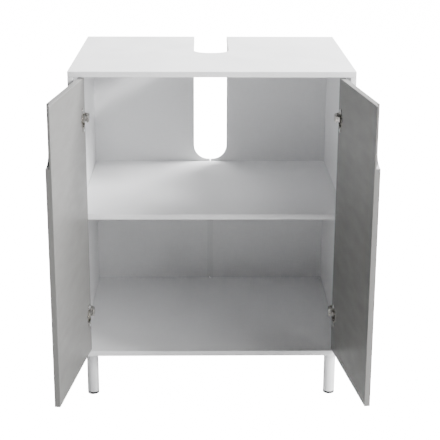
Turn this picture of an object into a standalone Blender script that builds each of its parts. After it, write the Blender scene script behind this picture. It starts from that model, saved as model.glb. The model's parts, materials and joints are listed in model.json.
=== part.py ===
"""Bathroom vanity cabinet: an open-backed carcass of 12 mm boards on four tubular legs, with a
notched top and a slotted back for the pipes, one shelf and two inset doors on concealed hinges.

Units are metres and +Z is up. The origin lies on the floor, under the middle of the cabinet with
its doors open. The doors are drawn shut, then turned open about their pivots.
"""

import math

import bmesh
import bpy
from mathutils import Matrix

# Overall sizes
WIDTH = 0.600
DEPTH = 0.470
CARCASS_HEIGHT = 0.640
LEG_HEIGHT = 0.110

# Boards
BOARD = 0.012
BOARD_EDGE = 0.0004
FIT = 0.0003
SHELF_SETBACK = 0.015
SHELF_SIDE_GAP = 0.0005

# Back: two thin halves, joined by an H-shaped strip in the lower compartment
BACK_THICKNESS = 0.003
BACK_SIDE_INSET = 0.0015
STRIP_WEB = 0.0008
STRIP_FLANGE_WIDTH = 0.014
STRIP_FLANGE = 0.001
STRIP_INSET = 0.0002

# Cut-outs for the drain and the supply pipes
NOTCH_WIDTH = 0.079
NOTCH_DEPTH = 0.238
SLOT_WIDTH = 0.081
SLOT_SILL = 0.0052
CUTOUT_RADIUS = 0.036

# Shelf pins
PIN_RADIUS = 0.0025
PIN_IN_BOARD = 0.008
PIN_UNDER_SHELF = 0.008
PIN_FRONT_INSET = 0.050

# Legs
LEG_RADIUS = 0.013
LEG_WALL = 0.0015
LEG_FROM_SIDE = 0.031
LEG_FROM_FRONT = 0.046
LEG_PLATE = 0.050
LEG_PLATE_THICKNESS = 0.0025
LEG_PLATE_CORNER = 0.006
LEG_SPIGOT = 0.014
LEG_SCREW_SPACING = 0.038
LEG_SCREW_HOLE = 0.0020
FOOT_HEIGHT = 0.0055
FOOT_PLUG = 0.014
FOOT_ROUND = 0.0012

# Doors
DOOR_THICKNESS = 0.012
DOOR_SIDE_GAP = 0.0015
DOOR_MIDDLE_GAP = 0.0020
DOOR_END_GAP = 0.0020
DOOR_EDGE = 0.0006
OPEN_ANGLE = math.radians(97.5)
PIVOT_FROM_EDGE = 0.0082
PIVOT_BEHIND_FRONT = 0.0006

# Finger recess milled into each door's front face at its free edge
RECESS_WIDTH = 0.025
RECESS_LENGTH = 0.120
RECESS_RUNOUT = 0.027
RECESS_DEPTH = 0.006
RECESS_EDGE_DEPTH = 0.008

# Concealed hinges
HINGE_FROM_DOOR_END = 0.087
CUP_RADIUS = 0.0155
CUP_EDGE_WALL = 0.0036
CUP_FLOOR_COVER = 0.002
CUP_WALL = 0.0009
CUP_RIM = 0.0012
CUP_FLANGE = 0.0012
CUP_EAR_LENGTH = 0.0093
CUP_EAR_WIDTH = 0.012
CUP_EAR_ROUND = 0.8
CUP_EAR_SCREW_FROM_TIP = 0.005
CUP_NOTCH_DEPTH = 0.0020
ARM_PIN_REACH = 0.0195
ARM_PIN_ANGLE = math.radians(26.0)
ARM_PIN_RADIUS = 0.0008
ARM_HEIGHT = 0.0165
ARM_TO_CUP_NOTCH = 0.0005
ARM_SHEET = 0.0015
ARM_NOSE_RADIUS = 0.0026
ARM_SEAT_HEIGHT = 0.009
ARM_OVERHANG = 0.005
LINK_PIN_REACH = 0.0115
LINK_RADIUS = 0.0016
LINK_HEIGHT = 0.010
NEARLY_ROUND = 0.96
PLATE_THICKNESS = 0.003
PLATE_LENGTH = 0.040
PLATE_BAR = 0.012
PLATE_END = 0.010
PLATE_WING_SPAN = 0.044
PLATE_CENTRE = 0.049
PLATE_SCREW_SPACING = 0.032

# Screws
SCREW_HEAD_RADIUS = 0.0030
SCREW_HEAD_HEIGHT = 0.0016
SCREW_SHANK_RADIUS = 0.0014
SCREW_LENGTH = 0.0105
SCREW_HEAD_SHARES = [(0, 1), (0.62, 0.92), (0.92, 0.68), (1, 0.45), (1, 0)]
SCREW_CROSS = 0.0030
SCREW_CROSS_TIP = 0.0005
SCREW_CROSS_ROOT = 0.0009
SCREW_CROSS_DEPTH = 0.0009

# Values that follow from the sizes above
INSIDE = WIDTH / 2 - BOARD
BASE_Z = LEG_HEIGHT
TOP_Z = LEG_HEIGHT + CARCASS_HEIGHT
FLOOR_Z = BASE_Z + BOARD
CEILING_Z = TOP_Z - BOARD
SHELF_BOTTOM = (FLOOR_Z + CEILING_Z - BOARD) / 2
SHELF_TOP = SHELF_BOTTOM + BOARD
BACK_RECESS = FIT + STRIP_FLANGE + STRIP_INSET
DOOR_WIDTH = INSIDE - DOOR_SIDE_GAP - DOOR_MIDDLE_GAP / 2
DOOR_BOTTOM = FLOOR_Z + DOOR_END_GAP
DOOR_TOP = CEILING_Z - DOOR_END_GAP
HINGE_HEIGHTS = {
    "lower": DOOR_BOTTOM + HINGE_FROM_DOOR_END,
    "upper": DOOR_TOP - HINGE_FROM_DOOR_END,
}
SIDES = {"left": -1, "right": 1}
CUP_FROM_EDGE = CUP_EDGE_WALL + CUP_RADIUS
CUP_DEPTH = DOOR_THICKNESS - CUP_FLOOR_COVER
CUP_RIM_RADIUS = CUP_RADIUS + CUP_RIM
CUP_FLANGE_LENGTH = 2 * (CUP_RIM_RADIUS + CUP_EAR_LENGTH)
CUP_SCREW_SPACING = CUP_FLANGE_LENGTH - 2 * CUP_EAR_SCREW_FROM_TIP
CUP_NOTCH_HEIGHT = ARM_HEIGHT + 2 * ARM_TO_CUP_NOTCH
ARM_END = PLATE_CENTRE + PLATE_LENGTH / 2 + ARM_OVERHANG

# How far the open doors stand out in front, and so where the carcass front lies
FREE_CORNER_X = DOOR_WIDTH - PIVOT_FROM_EDGE
FREE_CORNER_Y = DOOR_THICKNESS - PIVOT_BEHIND_FRONT
DOOR_REACH = (FREE_CORNER_X * math.sin(OPEN_ANGLE) - FREE_CORNER_Y * math.cos(OPEN_ANGLE)
              - PIVOT_BEHIND_FRONT)
FRONT = (DOOR_REACH - DEPTH) / 2
BACK_FRONT = FRONT + DEPTH - BACK_RECESS - BACK_THICKNESS
BACK_REAR = BACK_FRONT + BACK_THICKNESS

# Hinge linkage, in the plane seen from above. Positions are measured from the side panel inwards
# and from the carcass front backwards, with the door shut. The arm's pin lies on the bisector of
# the two end positions of the cup's pin, so the link has the same length shut and open.
PIVOT_INWARD = DOOR_SIDE_GAP + PIVOT_FROM_EDGE
CUP_PIN_ANGLE = ARM_PIN_ANGLE + OPEN_ANGLE / 2
ARM_PIN = (PIVOT_INWARD + ARM_PIN_REACH * math.cos(ARM_PIN_ANGLE),
           PIVOT_BEHIND_FRONT + ARM_PIN_REACH * math.sin(ARM_PIN_ANGLE))
CUP_PIN = (PIVOT_INWARD + LINK_PIN_REACH * math.cos(CUP_PIN_ANGLE - OPEN_ANGLE),
           PIVOT_BEHIND_FRONT + LINK_PIN_REACH * math.sin(CUP_PIN_ANGLE - OPEN_ANGLE))

# Colours, roughness and metallic value of each kind of piece
WHITE_BOARD = ((0.86, 0.86, 0.86), 0.35, 0.0)
GREY_BOARD = ((0.42, 0.41, 0.41), 0.40, 0.0)
WHITE_BACK = ((0.80, 0.80, 0.80), 0.55, 0.0)
WHITE_METAL = ((0.85, 0.85, 0.86), 0.30, 0.1)
DARK_PLASTIC = ((0.09, 0.09, 0.09), 0.50, 0.0)
WHITE_PLASTIC = ((0.82, 0.82, 0.82), 0.40, 0.0)
NICKEL = ((0.62, 0.60, 0.57), 0.28, 1.0)
ZINC = ((0.66, 0.66, 0.64), 0.35, 1.0)

ROUND_STEPS = 32
SMALL_STEPS = 12
MARGIN = 0.010
MERGE = 0.00001


def clear_scene():
    for obj in list(bpy.data.objects):
        bpy.data.objects.remove(obj, do_unlink=True)


def new_collection(name):
    collection = bpy.data.collections.new(name)
    bpy.context.scene.collection.children.link(collection)
    return collection


def add_mesh(name, mesh, location, parent=None):
    obj = bpy.data.objects.new(name, mesh)
    obj.location = location
    obj.parent = parent
    return obj


def finish_piece(obj, finish):
    """Put a piece in the cabinet's collection, with its own material."""
    colour, roughness, metallic = finish
    material = bpy.data.materials.new(obj.name + "_finish")
    material.use_nodes = True
    shader = material.node_tree.nodes["Principled BSDF"]
    shader.inputs["Base Color"].default_value = (*colour, 1.0)
    shader.inputs["Roughness"].default_value = roughness
    shader.inputs["Metallic"].default_value = metallic
    obj.data.materials.append(material)
    parts.objects.link(obj)
    return obj


def finish_cutter(obj):
    """Put a shape that only cuts or joins others in the cutters' collection."""
    obj.hide_render = True
    obj.display_type = "WIRE"
    cutters.objects.link(obj)
    return obj


def box_mesh(name, low, high):
    """A box between two corners, with its own centre as origin."""
    bm = bmesh.new()
    bmesh.ops.create_cube(bm, size=1.0)
    size = [high[i] - low[i] for i in range(3)]
    bmesh.ops.scale(bm, vec=size, verts=bm.verts)
    mesh = bpy.data.meshes.new(name)
    bm.to_mesh(mesh)
    bm.free()
    return mesh


def box(name, low, high, parent=None):
    low_corner = [min(low[i], high[i]) for i in range(3)]
    high_corner = [max(low[i], high[i]) for i in range(3)]
    centre = [(low_corner[i] + high_corner[i]) / 2 for i in range(3)]
    return add_mesh(name, box_mesh(name, low_corner, high_corner), centre, parent)


AXES = {
    "X": Matrix.Rotation(math.radians(90), 4, "Y"),
    "Y": Matrix.Rotation(math.radians(-90), 4, "X"),
    "Z": Matrix.Identity(4),
}


def cylinder(name, radius, length, centre, axis, parent=None, steps=ROUND_STEPS):
    """A closed cylinder of a given length about its centre, along X, Y or Z."""
    bm = bmesh.new()
    bmesh.ops.create_cone(bm, cap_ends=True, segments=steps, radius1=radius, radius2=radius,
                          depth=length)
    bmesh.ops.transform(bm, matrix=AXES[axis], verts=bm.verts)
    mesh = bpy.data.meshes.new(name)
    bm.to_mesh(mesh)
    bm.free()
    return add_mesh(name, mesh, centre, parent)


def turned(name, profile, location, rotation=(0, 0, 0), parent=None, steps=ROUND_STEPS,
           closed=False):
    """A profile of (radius, height) points, listed from top to bottom, turned about Z."""
    points = [(radius, 0.0, height) for radius, height in profile]
    edges = [(i, i + 1) for i in range(len(points) - 1)]
    if closed:
        edges.append((len(points) - 1, 0))
    mesh = bpy.data.meshes.new(name)
    mesh.from_pydata(points, edges, [])
    obj = add_mesh(name, mesh, location, parent)
    obj.rotation_euler = rotation
    screw = obj.modifiers.new("turn", "SCREW")
    screw.steps = steps
    screw.render_steps = steps
    screw.use_merge_vertices = True
    screw.merge_threshold = MERGE
    screw.use_smooth_shade = True
    return obj


def rounded_outline(corners, steps=6):
    """Turn a list of (x, y, radius) corners into an outline whose corners are arcs."""
    outline = []
    count = len(corners)
    for i, (x, y, radius) in enumerate(corners):
        if radius == 0:
            outline.append((x, y))
            continue
        before = corners[i - 1]
        after = corners[(i + 1) % count]
        angle_in = math.atan2(before[1] - y, before[0] - x)
        angle_out = math.atan2(after[1] - y, after[0] - x)
        opening = (angle_out - angle_in + math.pi) % (2 * math.pi) - math.pi
        bisector = angle_in + opening / 2
        reach = radius / abs(math.sin(opening / 2))
        centre_x = x + reach * math.cos(bisector)
        centre_y = y + reach * math.sin(bisector)
        turn = math.pi - abs(opening)
        first = bisector + math.pi + math.copysign(turn / 2, opening)
        for step in range(steps + 1):
            angle = first - math.copysign(turn, opening) * step / steps
            outline.append((centre_x + radius * math.cos(angle),
                            centre_y + radius * math.sin(angle)))
    return outline


PLANES = {
    "XY": Matrix.Identity(4),
    "XZ": Matrix.Rotation(math.radians(90), 4, "X"),
    "YZ": Matrix.Rotation(math.radians(90), 4, "Z") @ Matrix.Rotation(math.radians(90), 4, "X"),
}


def outline_solid(name, outline, thickness, plane, location, parent=None):
    """A flat outline extruded about its own plane by half its thickness each way."""
    curve = bpy.data.curves.new(name, "CURVE")
    curve.dimensions = "2D"
    curve.fill_mode = "BOTH"
    curve.extrude = thickness / 2
    spline = curve.splines.new("POLY")
    spline.points.add(len(outline) - 1)
    for point, (x, y) in zip(spline.points, outline):
        point.co = (x, y, 0, 1)
    spline.use_cyclic_u = True
    source = bpy.data.objects.new(name + "_outline", curve)
    bpy.context.scene.collection.objects.link(source)
    depsgraph = bpy.context.evaluated_depsgraph_get()
    mesh = bpy.data.meshes.new_from_object(source.evaluated_get(depsgraph))
    bpy.data.objects.remove(source, do_unlink=True)
    bpy.data.curves.remove(curve)
    mesh.name = name
    bm = bmesh.new()
    bm.from_mesh(mesh)
    bmesh.ops.remove_doubles(bm, verts=bm.verts, dist=MERGE)
    bmesh.ops.transform(bm, matrix=PLANES[plane], verts=bm.verts)
    bmesh.ops.recalc_face_normals(bm, faces=bm.faces)
    bm.to_mesh(mesh)
    bm.free()
    return add_mesh(name, mesh, location, parent)


def cut(obj, tool, operation="DIFFERENCE"):
    boolean = obj.modifiers.new(operation.lower(), "BOOLEAN")
    boolean.object = tool
    boolean.operation = operation


def soften(obj, width):
    bevel = obj.modifiers.new("edge", "BEVEL")
    bevel.width = width
    bevel.segments = 1


def board(name, low, high, finish=WHITE_BOARD):
    panel = box(name, low, high)
    soften(panel, BOARD_EDGE)
    return finish_piece(panel, finish)


# Carcass


def add_top_panel():
    half = WIDTH / 2
    rear = FRONT + DEPTH
    panel = board("top_panel", (-half, FRONT, CEILING_Z), (half, rear, TOP_Z))
    edge = NOTCH_WIDTH / 2
    corners = [(-edge, rear - NOTCH_DEPTH, CUTOUT_RADIUS), (edge, rear - NOTCH_DEPTH, CUTOUT_RADIUS),
               (edge, rear + MARGIN, 0), (-edge, rear + MARGIN, 0)]
    notch = outline_solid("top_notch_cutter", rounded_outline(corners, 10), BOARD + 2 * MARGIN,
                          "XY", (0, 0, CEILING_Z + BOARD / 2))
    cut(panel, finish_cutter(notch))


def add_bottom_panel():
    half = INSIDE - FIT
    board("bottom_panel", (-half, FRONT, BASE_Z), (half, BACK_FRONT - FIT, FLOOR_Z))


def add_shelf():
    half = INSIDE - SHELF_SIDE_GAP
    board("shelf", (-half, FRONT + SHELF_SETBACK, SHELF_BOTTOM), (half, BACK_FRONT - FIT, SHELF_TOP))


def shelf_pin_places():
    """(name, y) of the pins along one side panel."""
    depth = BACK_FRONT - FRONT - SHELF_SETBACK
    front = FRONT + SHELF_SETBACK + PIN_FRONT_INSET
    return {"front": front, "rear": front + depth - 2 * PIN_FRONT_INSET}


def add_side_panel(label, side):
    panel = board(label + "_side_panel", (side * INSIDE, FRONT, BASE_Z),
                  (side * WIDTH / 2, BACK_FRONT - FIT, CEILING_Z - FIT))
    pin_z = SHELF_BOTTOM - FIT - PIN_RADIUS
    for place, y in shelf_pin_places().items():
        hole = cylinder(f"{label}_{place}_pin_hole", PIN_RADIUS + FIT, 2 * (PIN_IN_BOARD + FIT),
                        (side * INSIDE, y, pin_z), "X", steps=SMALL_STEPS)
        cut(panel, finish_cutter(hole))
    for level, z in HINGE_HEIGHTS.items():
        for end in (-1, 1):
            depth = SCREW_LENGTH - PLATE_THICKNESS
            hole = cylinder(f"{label}_{level}_plate_pilot_{end}", SCREW_SHANK_RADIUS + FIT, 2 * depth,
                            (side * INSIDE, FRONT + PLATE_CENTRE, z + end * PLATE_SCREW_SPACING / 2),
                            "X", steps=SMALL_STEPS)
            cut(panel, finish_cutter(hole))


def add_shelf_pin(label, side, place, y):
    length = PIN_IN_BOARD + PIN_UNDER_SHELF
    chamfer = PIN_RADIUS / 4
    profile = [(0, length), (PIN_RADIUS - chamfer, length), (PIN_RADIUS, length - chamfer),
               (PIN_RADIUS, chamfer), (PIN_RADIUS - chamfer, 0), (0, 0)]
    start = side * (INSIDE + PIN_IN_BOARD)
    pin = turned(f"{label}_{place}_shelf_pin", profile, (start, y, SHELF_BOTTOM - FIT - PIN_RADIUS),
                 (0, -side * math.radians(90), 0), steps=SMALL_STEPS)
    finish_piece(pin, ZINC)


def add_back():
    sill = SHELF_TOP + SLOT_SILL
    edge = SLOT_WIDTH / 2
    corners = [(-edge, sill, CUTOUT_RADIUS), (edge, sill, CUTOUT_RADIUS),
               (edge, TOP_Z + MARGIN, 0), (-edge, TOP_Z + MARGIN, 0)]
    slot = outline_solid("back_slot_cutter", rounded_outline(corners, 10),
                         BACK_THICKNESS + 2 * MARGIN, "XZ", (0, BACK_FRONT + BACK_THICKNESS / 2, 0))
    finish_cutter(slot)
    gap = STRIP_WEB / 2 + FIT
    for label, side in SIDES.items():
        half = box(label + "_back_panel", (side * gap, BACK_FRONT, BASE_Z),
                   (side * (WIDTH / 2 - BACK_SIDE_INSET), BACK_REAR, CEILING_Z - FIT))
        cut(half, slot)
        finish_piece(half, WHITE_BACK)


def add_joining_strip():
    """An H section: a flange on each face of the back and a web between its two halves."""
    low = FLOOR_Z + FIT
    high = SHELF_BOTTOM - FIT
    wide = STRIP_FLANGE_WIDTH / 2
    web = STRIP_WEB / 2
    front = BACK_FRONT - FIT
    rear = BACK_REAR + FIT
    overlap = STRIP_FLANGE / 2
    strip = box("back_joining_strip", (-web, front - overlap, low), (web, rear + overlap, high))
    for face, outer in ((front, front - STRIP_FLANGE), (rear, rear + STRIP_FLANGE)):
        flange = box("strip_flange", (-wide, face, low), (wide, outer, high))
        cut(strip, finish_cutter(flange), "UNION")
    finish_piece(strip, WHITE_PLASTIC)


# Legs


def add_leg(label, x, y):
    plate_top = BASE_Z - FIT
    plate_middle = plate_top - LEG_PLATE_THICKNESS / 2
    half = LEG_PLATE / 2
    corners = [(-half, -half, LEG_PLATE_CORNER), (half, -half, LEG_PLATE_CORNER),
               (half, half, LEG_PLATE_CORNER), (-half, half, LEG_PLATE_CORNER)]
    plate = outline_solid(label + "_leg_plate", rounded_outline(corners, 4), LEG_PLATE_THICKNESS,
                          "XY", (x, y, plate_middle))
    spigot_length = LEG_SPIGOT + LEG_PLATE_THICKNESS / 2
    spigot = cylinder(label + "_leg_spigot", LEG_RADIUS - LEG_WALL - FIT, spigot_length,
                      (x, y, plate_middle - spigot_length / 2), "Z")
    cut(plate, finish_cutter(spigot), "UNION")
    for across in (-1, 1):
        for along in (-1, 1):
            place = (x + across * LEG_SCREW_SPACING / 2, y + along * LEG_SCREW_SPACING / 2, plate_top)
            hole = cylinder(f"{label}_leg_screw_hole_{across}_{along}", LEG_SCREW_HOLE,
                            4 * LEG_PLATE_THICKNESS, place, "Z", steps=SMALL_STEPS)
            # Turned half a step, so no corner of the hole is in line with the plate's corners
            hole.rotation_euler = (0, 0, math.pi / SMALL_STEPS)
            cut(plate, finish_cutter(hole))
    finish_piece(plate, WHITE_METAL)

    tube_top = plate_top - LEG_PLATE_THICKNESS - FIT
    tube_bottom = FOOT_HEIGHT + FIT
    bore = LEG_RADIUS - LEG_WALL
    profile = [(bore, tube_top), (LEG_RADIUS, tube_top), (LEG_RADIUS, tube_bottom),
               (bore, tube_bottom)]
    tube = turned(label + "_leg_tube", profile, (x, y, 0), closed=True)
    finish_piece(tube, WHITE_METAL)

    plug = bore - FIT
    profile = [(0, FOOT_HEIGHT + FOOT_PLUG), (plug, FOOT_HEIGHT + FOOT_PLUG), (plug, FOOT_HEIGHT),
               (LEG_RADIUS, FOOT_HEIGHT), (LEG_RADIUS, FOOT_ROUND), (LEG_RADIUS - FOOT_ROUND, 0),
               (0, 0)]
    foot = turned(label + "_leg_foot", profile, (x, y, 0))
    finish_piece(foot, DARK_PLASTIC)


def add_legs():
    x = WIDTH / 2 - LEG_FROM_SIDE
    rows = {"front": FRONT + LEG_FROM_FRONT, "rear": FRONT + DEPTH - LEG_FROM_FRONT}
    for label, side in SIDES.items():
        for row, y in rows.items():
            add_leg(f"{label}_{row}", side * x, y)


# Screws


def add_screw(name, location, rotation, parent=None):
    """A pan-head screw with its head's underside at the origin and its shank along -Z."""
    profile = [(SCREW_HEAD_RADIUS * across, SCREW_HEAD_HEIGHT * up)
               for across, up in SCREW_HEAD_SHARES]
    profile += [(SCREW_SHANK_RADIUS, 0), (SCREW_SHANK_RADIUS, SCREW_SHANK_RADIUS * 2 - SCREW_LENGTH),
                (0, -SCREW_LENGTH)]
    screw = turned(name, profile, location, rotation, parent, steps=SMALL_STEPS)
    end = SCREW_CROSS / 2
    tip = SCREW_CROSS_TIP / 2
    root = SCREW_CROSS_ROOT / 2
    outline = [(-tip, -end), (tip, -end), (root, -root), (end, -tip), (end, tip), (root, root),
               (tip, end), (-tip, end), (-root, root), (-end, tip), (-end, -tip), (-root, -root)]
    recess = outline_solid(name + "_recess", outline, 2 * SCREW_CROSS_DEPTH, "XY", location, parent)
    recess.rotation_euler = rotation
    recess.data.transform(Matrix.Translation((0, 0, SCREW_HEAD_HEIGHT)))
    cut(screw, finish_cutter(recess))
    finish_piece(screw, ZINC)


# Doors


def add_door_pivot(label, side):
    pivot = bpy.data.objects.new(label + "_door_pivot", None)
    pivot.location = (side * (INSIDE - PIVOT_INWARD), FRONT + PIVOT_BEHIND_FRONT, 0)
    pivot.rotation_euler = (0, 0, side * OPEN_ANGLE)
    parts.objects.link(pivot)
    return pivot


def add_door(label, side, pivot):
    """A door drawn shut, about its pivot: x runs from the hinge edge to the middle."""
    inward = -side
    front = -PIVOT_BEHIND_FRONT
    rear = front + DOOR_THICKNESS
    door = box(label + "_door", (-inward * PIVOT_FROM_EDGE, front, DOOR_BOTTOM),
               (inward * (DOOR_WIDTH - PIVOT_FROM_EDGE), rear, DOOR_TOP), pivot)
    soften(door, DOOR_EDGE)
    cut(door, add_finger_recess(label, inward, front, pivot))
    for level, z in HINGE_HEIGHTS.items():
        cup_x = inward * (CUP_FROM_EDGE - PIVOT_FROM_EDGE)
        bore = cylinder(f"{label}_{level}_cup_bore", CUP_RADIUS + FIT, 2 * (CUP_DEPTH + FIT),
                        (cup_x, rear, z), "Y", pivot)
        cut(door, finish_cutter(bore))
        for end in (-1, 1):
            pilot = cylinder(f"{label}_{level}_cup_pilot_{end}", SCREW_SHANK_RADIUS + FIT,
                             2 * (SCREW_LENGTH - CUP_FLANGE),
                             (cup_x, rear, z + end * CUP_SCREW_SPACING / 2), "Y", pivot, SMALL_STEPS)
            cut(door, finish_cutter(pilot))
    finish_piece(door, GREY_BOARD)


def add_finger_recess(label, inward, front, pivot):
    """The recess is open at the door's top and free edge; it deepens towards the free edge."""
    reach = RECESS_WIDTH + MARGIN
    corners = [(0, DOOR_TOP + MARGIN, 0), (0, DOOR_TOP - RECESS_LENGTH, RECESS_RUNOUT),
               (inward * reach, DOOR_TOP - RECESS_LENGTH, 0), (inward * reach, DOOR_TOP + MARGIN, 0)]
    thickness = 2 * DOOR_THICKNESS
    cutter = outline_solid(label + "_finger_recess", rounded_outline(corners, 10), thickness, "XZ",
                           (inward * (DOOR_WIDTH - RECESS_WIDTH - PIVOT_FROM_EDGE),
                            front + RECESS_DEPTH, 0), pivot)
    cutter.data.transform(Matrix.Translation((0, -thickness / 2, 0)))
    slope = math.atan2(RECESS_EDGE_DEPTH - RECESS_DEPTH, RECESS_WIDTH)
    cutter.rotation_euler = (0, 0, inward * slope)
    return finish_cutter(cutter)


# Hinges


def add_hinge_cup(label, level, side, z, pivot):
    """A pressed cup in the door, with a flange that carries an ear above and below it."""
    inward = -side
    name = f"{label}_{level}_hinge_cup"
    x = inward * (CUP_FROM_EDGE - PIVOT_FROM_EDGE)
    face = DOOR_THICKNESS - PIVOT_BEHIND_FRONT
    seat = face + FIT
    top = seat + CUP_FLANGE
    ear = CUP_EAR_WIDTH / 2
    end = CUP_FLANGE_LENGTH / 2
    corner = ear * CUP_EAR_ROUND
    corners = [(-ear, -end, corner), (ear, -end, corner), (ear, end, corner), (-ear, end, corner)]
    cup = outline_solid(name, rounded_outline(corners, 5), CUP_FLANGE, "XZ",
                        (x, seat + CUP_FLANGE / 2, z), pivot)
    rim = cylinder(name + "_rim", CUP_RIM_RADIUS, CUP_FLANGE, (x, seat + CUP_FLANGE / 2, z), "Y",
                   pivot)
    cut(cup, finish_cutter(rim), "UNION")
    bottom = face - CUP_DEPTH
    body = cylinder(name + "_body", CUP_RADIUS, top - bottom, (x, (top + bottom) / 2, z), "Y", pivot)
    cut(cup, finish_cutter(body), "UNION")
    cavity_bottom = bottom + CUP_WALL
    cavity_top = top + MARGIN
    cavity = cylinder(name + "_cavity", CUP_RADIUS - CUP_WALL, cavity_top - cavity_bottom,
                      (x, (cavity_top + cavity_bottom) / 2, z), "Y", pivot)
    cut(cup, finish_cutter(cavity))
    notch_end = inward * (CUP_FROM_EDGE - CUP_RADIUS / 2 - PIVOT_FROM_EDGE)
    notch = box(name + "_notch", (-inward * PIVOT_FROM_EDGE, face - CUP_NOTCH_DEPTH,
                                  z - CUP_NOTCH_HEIGHT / 2),
                (notch_end, cavity_top, z + CUP_NOTCH_HEIGHT / 2), pivot)
    cut(cup, finish_cutter(notch))
    for place in (-1, 1):
        screw_z = z + place * CUP_SCREW_SPACING / 2
        hole = cylinder(f"{name}_hole_{place}", SCREW_SHANK_RADIUS + FIT, 4 * CUP_FLANGE,
                        (x, seat, screw_z), "Y", pivot, SMALL_STEPS)
        cut(cup, finish_cutter(hole))
        screw_label = {-1: "lower", 1: "upper"}[place]
        add_screw(f"{name}_{screw_label}_screw", (x, top + FIT, screw_z), (-math.radians(90), 0, 0),
                  pivot)
    finish_piece(cup, NICKEL)


def hinge_place(side, inward, behind):
    """A point given from the side panel inwards and from the carcass front backwards."""
    return (side * (INSIDE - inward), FRONT + behind)


def add_hinge_arm(label, level, side, z):
    """A cranked channel of sheet steel: two cheeks and a web, forked at the nose for the link."""
    name = f"{label}_{level}_hinge_arm"
    pin_in, pin_back = ARM_PIN
    nose_out = pin_in - ARM_NOSE_RADIUS
    nose_in = pin_in + ARM_NOSE_RADIUS
    nose_front = pin_back - ARM_NOSE_RADIUS
    seat = PLATE_THICKNESS + 2 * FIT
    crown = seat + ARM_SEAT_HEIGHT
    bend = PLATE_CENTRE - PLATE_LENGTH / 2
    shape = [(nose_out, nose_front, ARM_NOSE_RADIUS * NEARLY_ROUND),
             (nose_in, nose_front, ARM_NOSE_RADIUS * NEARLY_ROUND),
             (nose_in, bend, ARM_SEAT_HEIGHT), (crown, bend + crown, ARM_SEAT_HEIGHT),
             (crown, ARM_END, ARM_SHEET), (seat, ARM_END, 0),
             (seat, bend + seat, ARM_SHEET), (nose_out, bend - ARM_SEAT_HEIGHT, ARM_SEAT_HEIGHT / 2)]

    def outline(shift_in, shift_back):
        corners = []
        for inward, behind, radius in shape:
            x, y = hinge_place(side, inward + shift_in, behind + shift_back)
            corners.append((x, y, radius))
        return rounded_outline(corners, 4)

    arm = outline_solid(name, outline(0, 0), ARM_HEIGHT, "XY", (0, 0, z))
    channel = outline_solid(name + "_channel", outline(-ARM_SHEET, ARM_SHEET),
                            ARM_HEIGHT - 2 * ARM_SHEET, "XY", (0, 0, z))
    cut(arm, finish_cutter(channel))
    fork_inner = ARM_HEIGHT / 2 - ARM_SHEET
    low = hinge_place(side, nose_out - MARGIN, nose_front - MARGIN)
    high = hinge_place(side, nose_in + MARGIN, pin_back + ARM_NOSE_RADIUS + ARM_SHEET)
    fork = box(name + "_fork", (*low, z - fork_inner), (*high, z + fork_inner))
    cut(arm, finish_cutter(fork))
    pin = cylinder(name + "_pin", ARM_PIN_RADIUS, ARM_HEIGHT - ARM_SHEET,
                   (*hinge_place(side, pin_in, pin_back), z), "Z", steps=SMALL_STEPS)
    cut(arm, finish_cutter(pin), "UNION")
    finish_piece(arm, NICKEL)


def add_hinge_link(label, level, side, z):
    """A bar with round ends, from the arm's pin to its place in the open door's cup."""
    name = f"{label}_{level}_hinge_link"
    start = hinge_place(side, *ARM_PIN)
    finish = hinge_place(side, *CUP_PIN)
    length = math.dist(start, finish)
    ends = length + LINK_RADIUS
    corner = LINK_RADIUS * NEARLY_ROUND
    corners = [(-LINK_RADIUS, -LINK_RADIUS, corner), (ends, -LINK_RADIUS, corner),
               (ends, LINK_RADIUS, corner), (-LINK_RADIUS, LINK_RADIUS, corner)]
    link = outline_solid(name, rounded_outline(corners, 5), LINK_HEIGHT, "XY", (*start, z))
    link.rotation_euler = (0, 0, math.atan2(finish[1] - start[1], finish[0] - start[0]))
    eye = cylinder(name + "_eye", ARM_PIN_RADIUS + FIT, 2 * LINK_HEIGHT, (*start, z), "Z",
                   steps=SMALL_STEPS)
    cut(link, finish_cutter(eye))
    finish_piece(link, NICKEL)


def add_mounting_plate(label, level, side, z):
    """A cross-shaped plate on the side panel, screwed through its two wings."""
    name = f"{label}_{level}_mounting_plate"
    bar = PLATE_BAR / 2
    tip = PLATE_END / 2
    reach = PLATE_LENGTH / 2
    span = PLATE_WING_SPAN / 2
    corner = bar / 3
    corners = [(-reach, -tip, corner), (-bar, -bar, 0), (-tip, -span, corner), (tip, -span, corner),
               (bar, -bar, 0), (reach, -tip, corner), (reach, tip, corner), (bar, bar, 0),
               (tip, span, corner), (-tip, span, corner), (-bar, bar, 0), (-reach, tip, corner)]
    y = FRONT + PLATE_CENTRE
    face = side * (INSIDE - FIT)
    plate = outline_solid(name, rounded_outline(corners, 3), PLATE_THICKNESS - FIT, "YZ",
                          (face - side * (PLATE_THICKNESS - FIT) / 2, y, z))
    for place in (-1, 1):
        screw_z = z + place * PLATE_SCREW_SPACING / 2
        hole = cylinder(f"{name}_hole_{place}", SCREW_SHANK_RADIUS + FIT, 4 * PLATE_THICKNESS,
                        (face, y, screw_z), "X", steps=SMALL_STEPS)
        cut(plate, finish_cutter(hole))
        screw_label = {-1: "lower", 1: "upper"}[place]
        head = side * (INSIDE - PLATE_THICKNESS - FIT)
        add_screw(f"{name}_{screw_label}_screw", (head, y, screw_z),
                  (0, -side * math.radians(90), 0))
    finish_piece(plate, NICKEL)


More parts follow.
